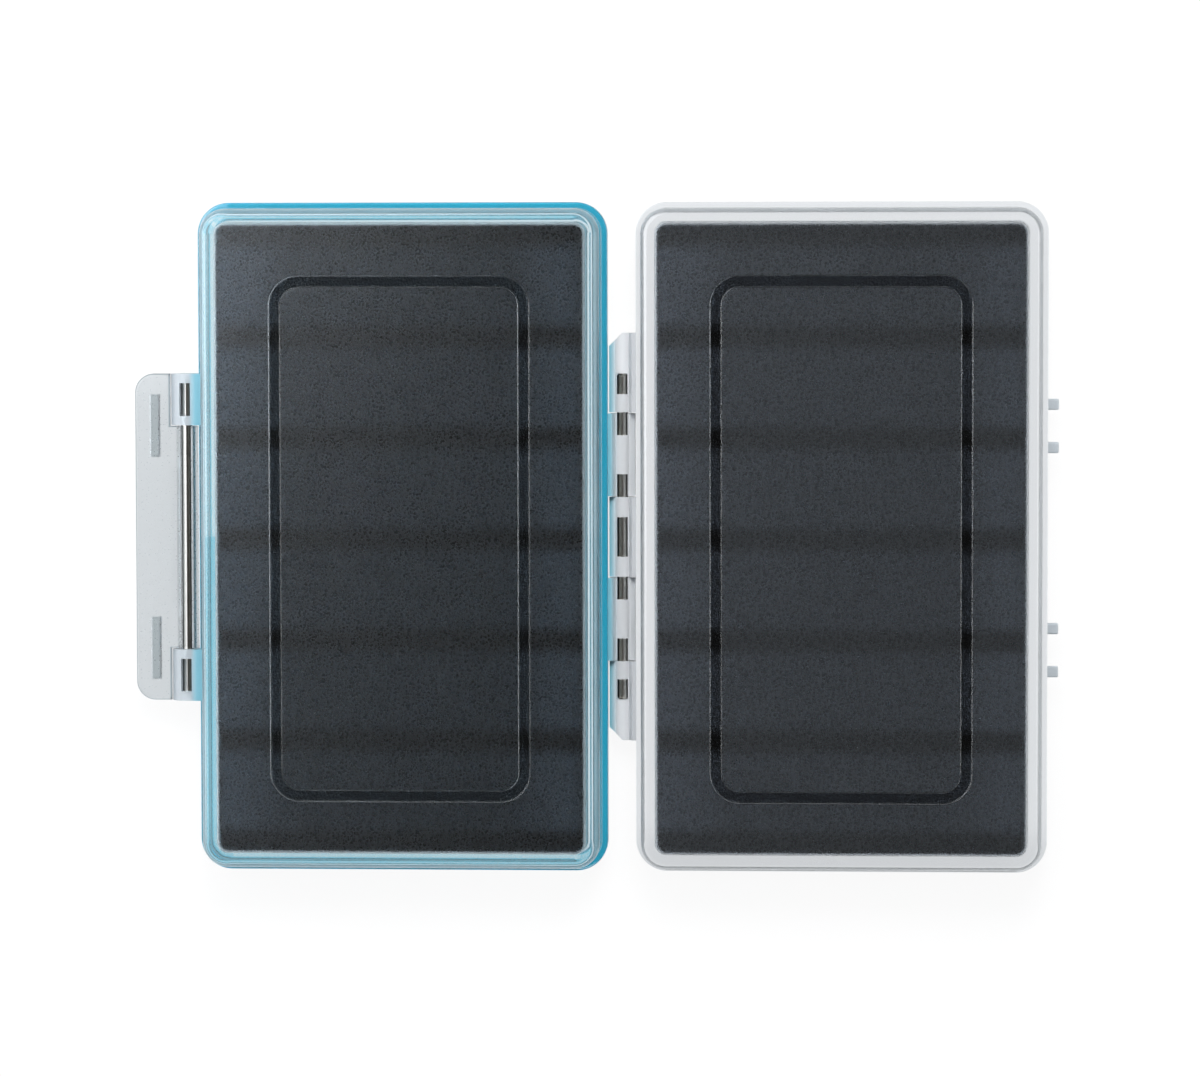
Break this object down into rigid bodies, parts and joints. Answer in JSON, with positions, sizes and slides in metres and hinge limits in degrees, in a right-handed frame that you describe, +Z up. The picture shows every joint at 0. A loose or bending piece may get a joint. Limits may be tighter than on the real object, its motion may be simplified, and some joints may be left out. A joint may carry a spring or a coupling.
{
  "type": "battery case",
  "caption": "Hinged two-part battery case with frosted shells, foam cradles for cylindrical cells, a rim seal and a flap latch, opened flat.",
  "frame": {"origin": "bottom centre of the opened case, on the surface that it lies on", "axes": "+X from the base half across the hinge to the lid half, +Y along the hinge, +Z up, which is the way the outer faces of both halves look"},
  "size_m": [0.1652, 0.1198, 0.0133],
  "materials": {
    "frosted_shell": "satin",
    "clear_latch": "satin",
    "blue_silicone": "satin",
    "black_foam": "matte",
    "steel_pin": "polished"
  },
  "bodies": {
    "base": {"base_shell": "frosted_shell", "rim_seal": "blue_silicone", "base_foam_cradle": "black_foam", "base_foam_floor": "black_foam", "hinge_pin": "steel_pin", "latch_pin": "steel_pin"},
    "lid": {"lid_shell": "frosted_shell", "lid_foam_cradle": "black_foam", "lid_foam_floor": "black_foam"},
    "latch": {"latch": "clear_latch"}
  },
  "joints": [
    {"name": "lid_hinge", "type": "hinge", "parent": "base", "child": "lid", "pos_m": [0.00477, 0, 0.00235], "axis": [0, 1, 0], "range_deg": [0, 180]},
    {"name": "latch_hinge", "type": "hinge", "parent": "base", "child": "latch", "pos_m": [-0.07343, 0, 0.00535], "axis": [0, -1, 0], "range_deg": [-90, 90]}
  ]
}
